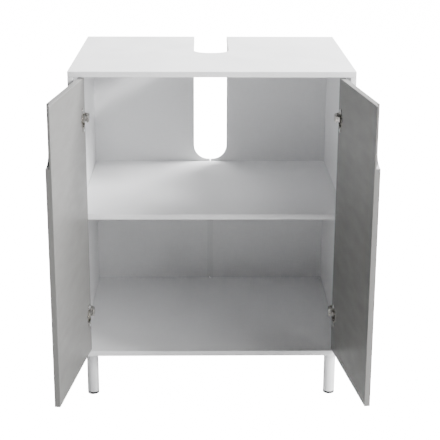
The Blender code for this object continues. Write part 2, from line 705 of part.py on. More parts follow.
def build_cabinet():
    add_top_panel()
    add_bottom_panel()
    add_shelf()
    add_back()
    add_joining_strip()
    add_legs()
    for label, side in SIDES.items():
        add_side_panel(label, side)
        for place, y in shelf_pin_places().items():
            add_shelf_pin(label, side, place, y)
        pivot = add_door_pivot(label, side)
        add_door(label, side, pivot)
        for level, z in HINGE_HEIGHTS.items():
            add_hinge_cup(label, level, side, z, pivot)
            add_hinge_arm(label, level, side, z)
            add_hinge_link(label, level, side, z)
            add_mounting_plate(label, level, side, z)


clear_scene()
parts = new_collection("bathroom_vanity_cabinet")
cutters = new_collection("cutters")
build_cabinet()
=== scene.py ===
import json
import math

import bmesh
import bpy
import numpy as np
from mathutils import Matrix, Vector


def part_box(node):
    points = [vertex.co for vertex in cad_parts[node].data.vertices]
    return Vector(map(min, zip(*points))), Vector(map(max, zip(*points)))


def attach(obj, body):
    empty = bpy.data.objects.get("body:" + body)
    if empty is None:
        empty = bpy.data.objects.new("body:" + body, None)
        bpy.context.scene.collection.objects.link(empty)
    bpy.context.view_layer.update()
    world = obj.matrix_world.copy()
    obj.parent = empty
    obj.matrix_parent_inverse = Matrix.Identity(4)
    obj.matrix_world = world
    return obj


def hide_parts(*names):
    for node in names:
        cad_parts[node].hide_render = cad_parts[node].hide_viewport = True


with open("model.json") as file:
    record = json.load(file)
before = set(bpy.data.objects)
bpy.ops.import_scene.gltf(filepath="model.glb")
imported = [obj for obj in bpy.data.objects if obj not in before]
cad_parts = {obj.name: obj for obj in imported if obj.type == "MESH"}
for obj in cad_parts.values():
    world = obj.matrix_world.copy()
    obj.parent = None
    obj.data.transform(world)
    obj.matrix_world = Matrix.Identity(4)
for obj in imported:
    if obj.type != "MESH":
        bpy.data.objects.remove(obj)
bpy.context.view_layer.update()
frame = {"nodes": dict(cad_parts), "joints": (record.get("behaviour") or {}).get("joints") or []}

# Shared places, read from the frame. Metres, +Z up, with the doors at the front, towards -Y.
sides = {"left": -1, "right": 1}
levels = ["lower", "upper"]
openAngle = math.radians(97.5)
joints = {joint["name"]: joint for joint in frame["joints"]}
tiny = 1e-7  # points nearer than this are one point


# Camera


camera = {
    "place": (-0.0226, -2.4764922, 1.1920),
    "pitch": 0.2935,
    "yaw": -0.0168,
    "roll": 0.0045,
    "lens": 95.147,
    "sensor": 36.0,
    "shiftY": -0.04545,
}


def addCamera(spec):
    # The camera's axes are the turned right, up and backward directions: roll x pitch x base x yaw.
    cy, sy = math.cos(spec["yaw"]), math.sin(spec["yaw"])
    cp, sp = math.cos(spec["pitch"]), math.sin(spec["pitch"])
    cr, sr = math.cos(spec["roll"]), math.sin(spec["roll"])
    yaw = np.array([[cy, sy, 0], [-sy, cy, 0], [0, 0, 1]])
    base = np.array([[1, 0, 0], [0, 0, -1], [0, 1, 0]])
    pitch = np.array([[1, 0, 0], [0, cp, -sp], [0, sp, cp]])
    roll = np.array([[cr, -sr, 0], [sr, cr, 0], [0, 0, 1]])
    rows = roll @ pitch @ base @ yaw
    turn = Matrix(np.stack([rows[0], -rows[1], -rows[2]], axis=1).tolist())
    data = bpy.data.cameras.new("camera")
    data.lens = spec["lens"]
    data.sensor_width = spec["sensor"]
    data.shift_y = spec["shiftY"]
    obj = bpy.data.objects.new("camera", data)
    obj.matrix_world = Matrix.Translation(spec["place"]) @ turn.to_4x4()
    bpy.context.scene.collection.objects.link(obj)
    bpy.context.scene.camera = obj


addCamera(camera)
print("camera made")


# Materials


def newMaterial(name):
    # An empty material with a principled shader and the object's own coordinates in metres.
    material = bpy.data.materials.new(name)
    material.use_nodes = True
    tree = material.node_tree
    tree.nodes.clear()
    output = tree.nodes.new("ShaderNodeOutputMaterial")
    shader = tree.nodes.new("ShaderNodeBsdfPrincipled")
    tree.links.new(shader.outputs["BSDF"], output.inputs["Surface"])
    place = tree.nodes.new("ShaderNodeTexCoord").outputs["Object"]
    return material, tree, shader, place


def feed(tree, socket, value):
    # A value that is a socket is linked, and any other is set on the input itself.
    if isinstance(value, bpy.types.NodeSocket):
        tree.links.new(value, socket)
    else:
        socket.default_value = value


def noise(tree, place, scale, detail=3.0, stretch=(1, 1, 1)):
    # Noise from 0 to 1 with a given number of cells per metre, stretched along the axes.
    moved = tree.nodes.new("ShaderNodeMapping")
    tree.links.new(place, moved.inputs["Vector"])
    moved.inputs["Scale"].default_value = stretch
    node = tree.nodes.new("ShaderNodeTexNoise")
    tree.links.new(moved.outputs["Vector"], node.inputs["Vector"])
    node.inputs["Scale"].default_value = scale
    node.inputs["Detail"].default_value = detail
    return node.outputs["Fac"]


def spread(tree, value, low, high, fromLow=0.3, fromHigh=0.7):
    # A value's range from fromLow to fromHigh is carried to the range from low to high.
    node = tree.nodes.new("ShaderNodeMapRange")
    tree.links.new(value, node.inputs["Value"])
    node.inputs["From Min"].default_value = fromLow
    node.inputs["From Max"].default_value = fromHigh
    node.inputs["To Min"].default_value = low
    node.inputs["To Max"].default_value = high
    return node.outputs["Result"]


def blendColour(tree, share, first, second, kind="MIX"):
    # first at share 0 and second at share 1, or their product for MULTIPLY.
    node = tree.nodes.new("ShaderNodeMix")
    node.data_type = "RGBA"
    node.blend_type = kind
    feed(tree, node.inputs["Factor"], share)
    feed(tree, node.inputs["A"], first)
    feed(tree, node.inputs["B"], second)
    return node.outputs["Result"]


def combine(tree, operation, first, second):
    # The sum, difference, product or larger of two values, by the operation's name.
    node = tree.nodes.new("ShaderNodeMath")
    node.operation = operation
    feed(tree, node.inputs[0], first)
    feed(tree, node.inputs[1], second)
    return node.outputs["Value"]


def bump(tree, height, distance, strength=1.0, under=None):
    # The surface's normal tilted by a height field of a given depth in metres.
    node = tree.nodes.new("ShaderNodeBump")
    tree.links.new(height, node.inputs["Height"])
    node.inputs["Distance"].default_value = distance
    node.inputs["Strength"].default_value = strength
    if under is not None:
        tree.links.new(under, node.inputs["Normal"])
    return node.outputs["Normal"]


def colour(values):
    # A colour socket also takes an alpha, which is always 1 here.
    return (*values, 1.0)


def shaded(values, share):
    # Each channel times the share.
    return colour([value * share for value in values])


def attribute(tree, name):
    # The value that each face of the mesh carries under this name.
    node = tree.nodes.new("ShaderNodeAttribute")
    node.attribute_name = name
    return node.outputs["Fac"]


# Board faces: shade is how dark the clouds get, pore is the cells per metre of the printed grain,
# and seam is how dark the glue line beside an edge band is.
whiteBoard = {"colour": (0.850, 0.852, 0.860), "shade": 0.982, "roughness": 0.34, "pore": 620,
              "poreDepth": 0.00005, "seam": 0.80}
greyBoard = {"colour": (0.162, 0.160, 0.155), "shade": 0.985, "roughness": 0.38, "pore": 520,
             "poreDepth": 0.00006, "seam": 0.86}
melamine = {"cloudScale": 4.0, "grain": (0.965, 1.02), "wipeScale": 14.0, "wipeStretch": (1, 1, 3),
            "wipe": (-0.04, 0.05), "bandSmoother": 0.05, "waveScale": 38.0, "waveDepth": 0.00012,
            "waveStrength": 0.35, "poreStrength": 0.5, "specular": 0.42}


def makeMelamine(name, spec):
    # Colour = base x cloud (a soft change every 25 cm) x grain (each pore slightly darker).
    # Edge bands, where the attribute band is 1, are smoother; the glue line beside them is darker.
    material, tree, shader, place = newMaterial(name)
    cloud = spread(tree, noise(tree, place, melamine["cloudScale"], 2.0), 0.0, 1.0)
    base = blendColour(tree, cloud, colour(spec["colour"]), shaded(spec["colour"], spec["shade"]))
    pores = noise(tree, place, spec["pore"], 4.0)
    grain = spread(tree, pores, *melamine["grain"])
    base = blendColour(tree, 1.0, base, grain, "MULTIPLY")
    base = blendColour(tree, attribute(tree, "seam"), base, shaded(spec["colour"], spec["seam"]))
    shader.inputs["Base Color"].default_value = colour(spec["colour"])
    tree.links.new(base, shader.inputs["Base Color"])
    wiped = noise(tree, place, melamine["wipeScale"], 4.0, melamine["wipeStretch"])
    rough = combine(tree, "ADD", spread(tree, wiped, *melamine["wipe"]), spec["roughness"])
    smoother = combine(tree, "MULTIPLY", attribute(tree, "band"), melamine["bandSmoother"])
    tree.links.new(combine(tree, "SUBTRACT", rough, smoother), shader.inputs["Roughness"])
    wave = noise(tree, place, melamine["waveScale"], 1.0)
    normal = bump(tree, wave, melamine["waveDepth"], melamine["waveStrength"])
    normal = bump(tree, pores, spec["poreDepth"], melamine["poreStrength"], normal)
    tree.links.new(normal, shader.inputs["Normal"])
    shader.inputs["Specular IOR Level"].default_value = melamine["specular"]
    return material


fibreboard = {"light": (0.845, 0.848, 0.855), "dark": (0.815, 0.818, 0.824), "fibreScale": 420.0,
              "fibreStretch": 0.16, "fibreRange": (0.45, 0.75), "cloudScale": 5.0,
              "cloud": (0.985, 1.0), "roughness": (0.50, 0.62), "depth": 0.00006, "strength": 0.5}


def makeBack(name, spec):
    # Lacquered fibreboard: the higher of two noises, one drawn out along z and one along x, gives
    # short crossing fibres in colour and height.
    material, tree, shader, place = newMaterial(name)
    along = spec["fibreStretch"]
    fibres = combine(tree, "MAXIMUM", noise(tree, place, spec["fibreScale"], 3.0, (1, 1, along)),
                     noise(tree, place, spec["fibreScale"], 3.0, (along, 1, 1)))
    share = spread(tree, fibres, 0.0, 1.0, *spec["fibreRange"])
    base = blendColour(tree, share, colour(spec["light"]), colour(spec["dark"]))
    cloud = spread(tree, noise(tree, place, spec["cloudScale"], 2.0), *spec["cloud"])
    base = blendColour(tree, 1.0, base, cloud, "MULTIPLY")
    tree.links.new(base, shader.inputs["Base Color"])
    tree.links.new(spread(tree, fibres, *spec["roughness"]), shader.inputs["Roughness"])
    tree.links.new(bump(tree, fibres, spec["depth"], spec["strength"]), shader.inputs["Normal"])
    return material


powderCoat = {"light": (0.845, 0.848, 0.856), "dark": (0.825, 0.828, 0.835), "peelScale": 650.0,
              "peelDepth": 0.00008, "peelStrength": 0.6, "cloudScale": 60.0,
              "roughness": (0.26, 0.36), "coat": 0.25, "coatRoughness": 0.18}


def makePowderCoat(name, spec):
    # Orange-peel bumps about 1.5 mm apart under a satin coat.
    material, tree, shader, place = newMaterial(name)
    peel = noise(tree, place, spec["peelScale"], 2.0)
    share = spread(tree, noise(tree, place, spec["cloudScale"]), 0.0, 1.0)
    base = blendColour(tree, share, colour(spec["light"]), colour(spec["dark"]))
    tree.links.new(base, shader.inputs["Base Color"])
    tree.links.new(spread(tree, peel, *spec["roughness"]), shader.inputs["Roughness"])
    normal = bump(tree, peel, spec["peelDepth"], spec["peelStrength"])
    tree.links.new(normal, shader.inputs["Normal"])
    shader.inputs["Coat Weight"].default_value = spec["coat"]
    shader.inputs["Coat Roughness"].default_value = spec["coatRoughness"]
    return material


# The strip's grain is drawn out along z, as it was extruded, and the foot's is even.
footPlastic = {"light": (0.040, 0.040, 0.042), "dark": (0.028, 0.028, 0.030), "roughness": 0.50,
               "grainScale": 900, "stretch": (1, 1, 1)}
stripPlastic = {"light": (0.78, 0.785, 0.79), "dark": (0.75, 0.755, 0.76), "roughness": 0.36,
                "grainScale": 700, "stretch": (1, 1, 0.05)}
plastic = {"smoother": 0.05, "rougher": 0.06, "grainDepth": 0.00004, "grainStrength": 0.5}


def makePlastic(name, spec):
    # A fine grain sets the colour between dark and light, the roughness and the height.
    material, tree, shader, place = newMaterial(name)
    grain = noise(tree, place, spec["grainScale"], 3.0, spec["stretch"])
    base = blendColour(tree, spread(tree, grain, 0.0, 1.0), colour(spec["dark"]), colour(spec["light"]))
    tree.links.new(base, shader.inputs["Base Color"])
    rough = spread(tree, grain, spec["roughness"] - plastic["smoother"],
                   spec["roughness"] + plastic["rougher"])
    tree.links.new(rough, shader.inputs["Roughness"])
    normal = bump(tree, grain, plastic["grainDepth"], plastic["grainStrength"])
    tree.links.new(normal, shader.inputs["Normal"])
    return material


nickelPlate = {"light": (0.50, 0.485, 0.46), "dark": (0.40, 0.385, 0.36), "roughness": 0.24,
               "lineScale": 2200, "cloudScale": 160}
zincPlate = {"light": (0.68, 0.69, 0.70), "dark": (0.56, 0.58, 0.60), "roughness": 0.32,
             "lineScale": 2600, "cloudScale": 420}
plating = {"lineStretch": (1, 1, 0.06), "lineShade": (0.94, 1.03), "lineRoughness": (-0.04, 0.05),
           "smoother": 0.04, "rougher": 0.06, "lineDepth": 0.00002, "lineStrength": 0.35}


def makeMetal(name, spec):
    # Plated steel: fine drawn lines along z over a cloudy plating. Roughness = lines + clouds.
    material, tree, shader, place = newMaterial(name)
    drawn = noise(tree, place, spec["lineScale"], 4.0, plating["lineStretch"])
    cloud = noise(tree, place, spec["cloudScale"], 4.0)
    base = blendColour(tree, spread(tree, cloud, 0.0, 1.0), colour(spec["dark"]), colour(spec["light"]))
    base = blendColour(tree, 1.0, base, spread(tree, drawn, *plating["lineShade"]), "MULTIPLY")
    tree.links.new(base, shader.inputs["Base Color"])
    shader.inputs["Metallic"].default_value = 1.0
    lines = spread(tree, drawn, *plating["lineRoughness"])
    clouds = spread(tree, cloud, spec["roughness"] - plating["smoother"],
                    spec["roughness"] + plating["rougher"])
    tree.links.new(combine(tree, "ADD", lines, clouds), shader.inputs["Roughness"])
    normal = bump(tree, drawn, plating["lineDepth"], plating["lineStrength"])
    tree.links.new(normal, shader.inputs["Normal"])
    return material


materials = {
    "white_board": makeMelamine("whiteMelamine", whiteBoard),
    "grey_board": makeMelamine("greyMelamine", greyBoard),
    "white_back": makeBack("whiteBack", fibreboard),
    "white_metal": makePowderCoat("whitePowderCoat", powderCoat),
    "foot_plastic": makePlastic("footPlastic", footPlastic),
    "strip_plastic": makePlastic("stripPlastic", stripPlastic),
    "nickel_steel": makeMetal("nickelPlate", nickelPlate),
    "zinc_steel": makeMetal("zincPlate", zincPlate),
}

# Each CAD node arrives with its slot's name on its material, and gets that slot's finish.
for nodeObject in frame["nodes"].values():
    slotName = nodeObject.data.materials[0].name.split(".")[0]
    nodeObject.data.materials.clear()
    nodeObject.data.materials.append(materials[slotName])
print("materials made")


# Shapes


creaseAngle = 42


def finishPiece(name, mesh, slotName, body, replaced=(), crease=creaseAngle):
    # Merges poles and seams, turns normals outwards, and puts the piece on its body and slot.
    bm = bmesh.new()
    bm.from_mesh(mesh)
    bmesh.ops.remove_doubles(bm, verts=bm.verts, dist=tiny)
    bmesh.ops.recalc_face_normals(bm, faces=bm.faces)
    bm.to_mesh(mesh)
    bm.free()
    mesh.shade_smooth()
    mesh.set_sharp_from_angle(angle=math.radians(crease))
    mesh.materials.append(materials[slotName])
    obj = bpy.data.objects.new(name, mesh)
    bpy.context.scene.collection.objects.link(obj)
    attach(obj, body)
    if replaced:
        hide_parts(*replaced)
    return obj


class Shape:
    # Collects grids and caps as arrays, then makes one mesh with the face values band and seam.
    def __init__(self):
        self.points, self.faces, self.band, self.seam, self.count = [], [], [], [], 0

    def add(self, rings, caps=(True, True), band=0.0, seam=0.0):
        # rings is (rows, columns, 3), each row a closed loop. Quad i,j joins i,j / i,j+1 / i+1,j+1 /
        # i+1,j, and a cap is one face over the first or the last row.
        rows, columns = rings.shape[:2]
        index = np.arange(rows * columns).reshape(rows, columns) + self.count
        right = np.roll(index, -1, axis=1)
        quads = np.stack([index[:-1], right[:-1], right[1:], index[1:]], axis=-1)
        rowBand = np.broadcast_to(np.asarray(band, float), (rows - 1,))
        rowSeam = np.broadcast_to(np.asarray(seam, float), (rows - 1,))
        self.faces += quads.reshape(-1, 4).tolist()
        self.band += np.repeat(rowBand, columns).tolist()
        self.seam += np.repeat(rowSeam, columns).tolist()
        for cap, row in zip(caps, (index[0][::-1], index[-1])):
            if cap:
                self.faces.append(row.tolist())
                self.band.append(0.0)
                self.seam.append(0.0)
        self.points.append(rings.reshape(-1, 3))
        self.count += rows * columns
        return self

    def mesh(self, name, move=None):
        # move carries the points from the shape's own place to the world's.
        points = np.concatenate(self.points)
        if move is not None:
            points = move(points)
        mesh = bpy.data.meshes.new(name)
        mesh.from_pydata(points.tolist(), [], self.faces)
        for label, values in (("band", self.band), ("seam", self.seam)):
            layer = mesh.attributes.new(label, "FLOAT", "FACE")
            layer.data.foreach_set("value", np.array(values, np.float32))
        return mesh


def roundedLoop(corners, steps):
    # Each corner (x, y, radius) of an anticlockwise outline becomes an arc that meets both sides.
    # Normals point out of the outline; on a hollow corner the arc's centre lies outside it.
    corner = np.array(corners, float)
    place, radius = corner[:, :2], corner[:, 2:]
    before = np.roll(place, 1, axis=0) - place
    after = np.roll(place, -1, axis=0) - place
    before /= np.linalg.norm(before, axis=1, keepdims=True)
    after /= np.linalg.norm(after, axis=1, keepdims=True)
    hollow = np.sign(before[:, :1] * after[:, 1:] - before[:, 1:] * after[:, :1])
    half = np.arccos(np.clip((before * after).sum(1), -1, 1))[:, None] / 2
    middle = before + after
    middle /= np.linalg.norm(middle, axis=1, keepdims=True)
    centre = place + middle * radius / np.sin(half)
    first = np.arctan2(before[:, 0], -before[:, 1])[:, None]
    turn = -hollow * (math.pi - 2 * half)
    angle = first + turn * np.linspace(0, 1, steps + 1)[None, :]
    normals = np.stack([np.cos(angle), np.sin(angle)], axis=-1)
    points = centre[:, None] - normals * (radius * hollow)[:, None]
    return points.reshape(-1, 2), normals.reshape(-1, 2)


planes = {"XY": (0, 1, 2), "XZ": (0, 2, 1), "YZ": (1, 2, 0)}


def slabRings(loop, low, high, edge, plane="XY", steps=3, seam=0.00035):
    # A plate from low to high whose edges are quarter circles: inset = edge(1 - sin t),
    # height = low + edge(1 - cos t). A narrow flat ring beside each edge carries the glue line.
    points, normals = loop
    t = np.linspace(0, math.pi / 2, steps + 1)
    inset = np.concatenate([[edge + seam], edge * (1 - np.sin(t))])
    height = np.concatenate([[low], low + edge * (1 - np.cos(t))])
    inset = np.concatenate([inset, inset[::-1]])
    height = np.concatenate([height, low + high - height[::-1]])
    flat = points[None] - normals[None] * inset[:, None, None]
    rings = np.empty((len(inset), len(points), 3))
    first, second, third = planes[plane]
    rings[..., first], rings[..., second] = flat[..., 0], flat[..., 1]
    rings[..., third] = height[:, None]
    rows = len(inset) - 1
    band = np.ones(rows)
    band[[0, -1]] = 0.0
    return rings, band, 1.0 - band


def rectangle(low, high, radius):
    # The four corners between two opposite ones, anticlockwise, all with one radius.
    return [(low[0], low[1], radius), (high[0], low[1], radius), (high[0], high[1], radius),
            (low[0], high[1], radius)]


def turnedRings(profile, columns):
    # (radius, height) points turned about z: x = r cos a, y = r sin a.
    profile = np.asarray(profile, float)
    angle = np.arange(columns) * 2 * math.pi / columns
    rings = np.empty((len(profile), columns, 3))
    rings[..., 0] = profile[:, :1] * np.cos(angle)
    rings[..., 1] = profile[:, :1] * np.sin(angle)
    rings[..., 2] = profile[:, 1:]
    return rings


def arc(centre, radius, fromDegrees, toDegrees, steps):
    # Points on a circle in the (radius, height) plane.
    t = np.radians(np.linspace(fromDegrees, toDegrees, steps + 1))
    return np.stack([centre[0] + radius * np.cos(t), centre[1] + radius * np.sin(t)], axis=1).tolist()


def placed(points, axes, origin):
    # axes are the world directions of the shape's own x, y and z.
    return points @ np.array(axes, float) + np.array(origin, float)


# Boards


boards = {"edge": 0.0006, "corner": 0.0013, "backCorner": 0.0008, "backEdge": 0.0003,
          "notchWidth": 0.079, "notchDepth": 0.238, "slotWidth": 0.081, "sill": 0.0052,
          "cutRadius": 0.036, "arcSteps": 24}


def addBoard(name, corners, low, high, plane, slotName, steps=4, edge=None):
    # An outline of rounded corners in the board's own plane, carried through its thickness.
    rings, band, seam = slabRings(roundedLoop(corners, steps), low, high, edge or boards["edge"], plane)
    shape = Shape().add(rings, band=band, seam=seam)
    return finishPiece(name + "_finish", shape.mesh(name), slotName, "root", [name])


def addBoards(spec):
    # The top's outline goes round its notch. The other boards are rectangles.
    low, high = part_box("top_panel")
    edge, corner, cut = spec["notchWidth"] / 2, spec["corner"], spec["cutRadius"]
    floor = high.y - spec["notchDepth"]
    outline = [(low.x, low.y, corner), (high.x, low.y, corner), (high.x, high.y, corner),
               (edge, high.y, corner), (edge, floor, cut), (-edge, floor, cut),
               (-edge, high.y, corner), (low.x, high.y, corner)]
    addBoard("top_panel", outline, low.z, high.z, "XY", "white_board", spec["arcSteps"])
    for name in ("bottom_panel", "shelf"):
        low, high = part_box(name)
        addBoard(name, rectangle(low.xy, high.xy, corner), low.z, high.z, "XY", "white_board")
    for label in sides:
        name = label + "_side_panel"
        low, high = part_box(name)
        addBoard(name, rectangle(low.yz, high.yz, corner), low.x, high.x, "YZ", "white_board")
    addBacks(spec)


def addBacks(spec):
    # Each half of the back is a thin plate whose inner upper corner is cut by half the pipe slot.
    edge, cut = spec["slotWidth"] / 2, spec["cutRadius"]
    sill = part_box("shelf")[1].z + spec["sill"]
    thin = spec["backCorner"]
    for label, side in sides.items():
        name = label + "_back_panel"
        low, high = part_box(name)
        inner, outer = (high.x, low.x) if side < 0 else (low.x, high.x)
        outline = [(outer, low.z, thin), (inner, low.z, thin), (inner, sill, thin),
                   (side * edge, sill, cut), (side * edge, high.z, thin), (outer, high.z, thin)]
        if side > 0:
            outline = outline[::-1]
        addBoard(name, outline, low.y, high.y, "XZ", "white_back", spec["arcSteps"], spec["backEdge"])


addBoards(boards)
print("boards made")


# Legs: a tube with rounded lips, a grooved foot, and a plate with a stem and four screws.


legs = {"columns": 72, "wall": 0.0015, "lip": 0.0006, "lipSteps": 4, "footHeight": 0.0055,
        "footRound": 0.0014, "footSteps": 6, "footHollow": 0.0006, "hollowFrom": 0.55, "hollowTo": 0.6,
        "groove": 0.0005, "grooveSteps": 3, "plugGap": 0.0004, "plugChamfer": 0.001}
legPlates = {"thickness": 0.0025, "corner": 0.006, "cornerSteps": 8, "edge": 0.0006, "edgeSteps": 4,
             "columns": 48, "stemGap": 0.0001, "collar": 0.0026, "collarSteps": 5, "inPlate": 0.001,
             "chamfer": 0.001, "screwSpacing": 0.038, "screwRadius": 0.0034, "screwLength": 0.0105,
             "firstTurn": 0.4, "nextTurn": 0.9}


def addTube(label, spec):
    # A hollow turned wall whose four edges are quarter circles of the lip's size.
    low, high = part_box(label + "_leg_tube")
    centre = ((low.x + high.x) / 2, (low.y + high.y) / 2)
    outer = (high.x - low.x) / 2
    bore, lip, steps = outer - spec["wall"], spec["lip"], spec["lipSteps"]
    profile = ([(bore, high.z - lip)] + arc((bore + lip, high.z - lip), lip, 180, 90, steps)
               + arc((outer - lip, high.z - lip), lip, 90, 0, steps)
               + arc((outer - lip, low.z + lip), lip, 0, -90, steps)
               + arc((bore + lip, low.z + lip), lip, -90, -180, steps) + [(bore, high.z - lip)])
    tube = Shape().add(turnedRings(profile, spec["columns"]), caps=(False, False))
    finishPiece(label + "_leg_tube_finish", tube.mesh("tube", lambda p: p + (*centre, 0)),
                "white_metal", "root", [label + "_leg_tube"])
    return centre, outer, bore


def addFoot(label, outer, bore, centre, spec):
    # A shallow hollow underneath, a round edge, a groove below the tube, and a plug inside it.
    low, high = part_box(label + "_leg_foot")
    rise, hollow = low.z + spec["footHeight"], low.z + spec["footHollow"]
    soft, groove = spec["footRound"], spec["groove"]
    plug, chamfer = bore - spec["plugGap"], spec["plugChamfer"]
    profile = ([(0, hollow), (outer * spec["hollowFrom"], hollow), (outer * spec["hollowTo"], low.z)]
               + arc((outer - soft, low.z + soft), soft, -90, 0, spec["footSteps"])
               + [(outer, rise - 3 * groove), (outer - groove, rise - 2.5 * groove),
                  (outer - groove, rise - 1.5 * groove), (outer, rise - groove)]
               + arc((outer - groove / 2, rise - groove / 2), groove / 2, 0, 90, spec["grooveSteps"])
               + [(plug, rise), (plug, high.z - chamfer), (plug - chamfer, high.z), (0, high.z)])
    foot = Shape().add(turnedRings(profile, spec["columns"]), caps=(False, False))
    finishPiece(label + "_leg_foot_finish", foot.mesh("foot", lambda p: p + (*centre, 0)),
                "foot_plastic", "root", [label + "_leg_foot"])


def addLegPlate(label, bore, centre, spec):
    # A plate with rounded corners, and a turned stem that meets it in a hollow quarter circle.
    low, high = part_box(label + "_leg_plate")
    thickness, collar, chamfer = spec["thickness"], spec["collar"], spec["chamfer"]
    loop = roundedLoop(rectangle(low.xy, high.xy, spec["corner"]), spec["cornerSteps"])
    rings, _, _ = slabRings(loop, high.z - thickness, high.z, spec["edge"], steps=spec["edgeSteps"])
    plate = Shape().add(rings)
    top, reach = high.z - spec["inPlate"], bore - spec["stemGap"]
    stem = [(0, top), (reach, top)]
    stem += arc((reach, high.z - thickness - collar), collar, 90, 180, spec["collarSteps"])
    wide = stem[-1][0]
    stem += [(wide, low.z + chamfer), (wide - chamfer, low.z), (0, low.z)]
    plate.add(turnedRings(stem, spec["columns"]) + (*centre, 0), caps=(False, False))
    finishPiece(label + "_leg_plate_finish", plate.mesh("plate"), "white_metal", "root",
                [label + "_leg_plate"])
    across = spec["screwSpacing"] / 2
    for i, (dx, dy) in enumerate(((-1, -1), (1, -1), (1, 1), (-1, 1))):
        place = (centre[0] + dx * across, centre[1] + dy * across, high.z - thickness)
        addScrew(f"{label}_leg_plate_screw_{i + 1}", place, (0, 0, -1), spec["screwRadius"],
                 spec["screwLength"], "root", turn=spec["firstTurn"] + spec["nextTurn"] * i)


# Screws


screws = {"columns": 48, "headShare": 0.50, "domePower": 2.6, "domeRoot": 0.42, "flatShare": 0.9,
          "flatRows": 19, "rimShares": (0.94, 0.97, 0.99, 1.0), "crossLength": 0.58,
          "crossWidth": 0.15, "crossDepth": 0.62, "crossCentre": 1.15, "sideSlope": 0.05,
          "endSlope": 0.08, "shankShare": 0.46, "shankRows": 40, "pitch": 0.0014, "thread": 0.0003,
          "tipShare": 0.22, "tipRadius": 0.02}


def directions(axis, turn=0.0):
    # Three axes at right angles, the third along axis, turned about it.
    third = np.array(axis, float) / np.linalg.norm(axis)
    steep = abs(third[2]) > 0.9
    first = np.cross((0, 1, 0) if steep else (0, 0, 1), third)
    first /= np.linalg.norm(first)
    second = np.cross(third, first)
    return [math.cos(turn) * first + math.sin(turn) * second,
            math.cos(turn) * second - math.sin(turn) * first, third]


def headRings(radius, spec):
    # height = head (1 - share^domePower)^domeRoot, share being the distance from the middle over the
    # head's radius. The cross sinks by a smooth step in from its sides and ends, deepest in the middle.
    head = radius * spec["headShare"]
    flat = np.linspace(0, spec["flatShare"], spec["flatRows"])
    share = np.concatenate([flat, spec["rimShares"]])[:, None]
    angle = np.arange(spec["columns"]) * 2 * math.pi / spec["columns"]
    x, y = share * np.cos(angle), share * np.sin(angle)
    near, far = np.minimum(np.abs(x), np.abs(y)), np.maximum(np.abs(x), np.abs(y))
    cross = (np.clip((spec["crossWidth"] - near) / spec["sideSlope"], 0, 1)
             * np.clip((spec["crossLength"] - far) / spec["endSlope"], 0, 1))
    cross = cross * cross * (3 - 2 * cross)
    dome = head * (1 - share ** spec["domePower"]).clip(0) ** spec["domeRoot"]
    sunk = cross * head * spec["crossDepth"] * (spec["crossCentre"] - far)
    return np.stack([x * radius, y * radius, dome - sunk], axis=-1)


def shankRings(radius, length, spec):
    # radius = (shank + thread x wave^3) x taper, where wave follows a helix of the thread's pitch.
    shank = radius * spec["shankShare"]
    angle = np.arange(spec["columns"]) * 2 * math.pi / spec["columns"]
    step = np.linspace(0, 1, spec["shankRows"])[:, None]
    depth = -step * length
    taper = np.clip((1 - step) / spec["tipShare"], spec["tipRadius"], 1)
    wave = 0.5 + 0.5 * np.cos(2 * math.pi * depth / spec["pitch"] - angle)
    wide = (shank + spec["thread"] * wave ** 3) * taper
    return np.stack([wide * np.cos(angle), wide * np.sin(angle), np.broadcast_to(depth, wide.shape)],
                    axis=-1)


def addScrew(name, place, axis, radius, length, body, replaced=(), turn=0.0):
    # The head's rings run outwards and go on as the shank's, from the head's underside to the tip.
    rings = np.concatenate([headRings(radius, screws), shankRings(radius, length, screws)])
    shape = Shape().add(rings, caps=(False, True))
    axes = directions(axis, turn)
    return finishPiece(name, shape.mesh("screw", lambda p: placed(p, axes, place)), "zinc_steel", body,
                       replaced)


for label in sides:
    for row in ("front", "rear"):
        leg = f"{label}_{row}"
        legCentre, legRadius, legBore = addTube(leg, legs)
        addFoot(leg, legRadius, legBore, legCentre, legs)
        addLegPlate(leg, legBore, legCentre, legPlates)
print("legs made")


# Shelf pins: a stud in the side board, and a thicker peg with a round end under the shelf.


pins = {"columns": 40, "inBoard": 0.008, "studShare": 0.96, "studTip": 0.8, "tipLength": 0.3,
        "step": 0.0002, "round": 0.35, "roundSteps": 5}


def addPins(spec):
    # A turned profile: a cone at the stud's tip, the stud, a step, the peg and a quarter circle.
    for label, side in sides.items():
        for row in ("front", "rear"):
            name = f"{label}_{row}_shelf_pin"
            low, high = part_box(name)
            radius, length = (high.z - low.z) / 2, high.x - low.x
            stud, soft = radius * spec["studShare"], radius * spec["round"]
            profile = [(0, 0), (radius * spec["studTip"], 0), (stud, radius * spec["tipLength"]),
                       (stud, spec["inBoard"] - spec["step"]), (radius, spec["inBoard"]),
                       (radius, length - soft)]
            profile += arc((radius - soft, length - soft), soft, 0, 90, spec["roundSteps"])
            profile += [(0, length)]
            start = (high.x if side > 0 else low.x, (low.y + high.y) / 2, (low.z + high.z) / 2)
            shape = Shape().add(turnedRings(profile, spec["columns"]), caps=(False, False))
            axes = directions((-side, 0, 0))
            finishPiece(name + "_finish", shape.mesh("pin", lambda p: placed(p, axes, start)),
                        "zinc_steel", "root", [name])


addPins(pins)
print("shelf pins made")


# Hinges. In a leaf's own frame x runs from the pivot along the door towards its free edge,
# y out of its inner face, and z up, with the pivot's axis at x = y = 0.


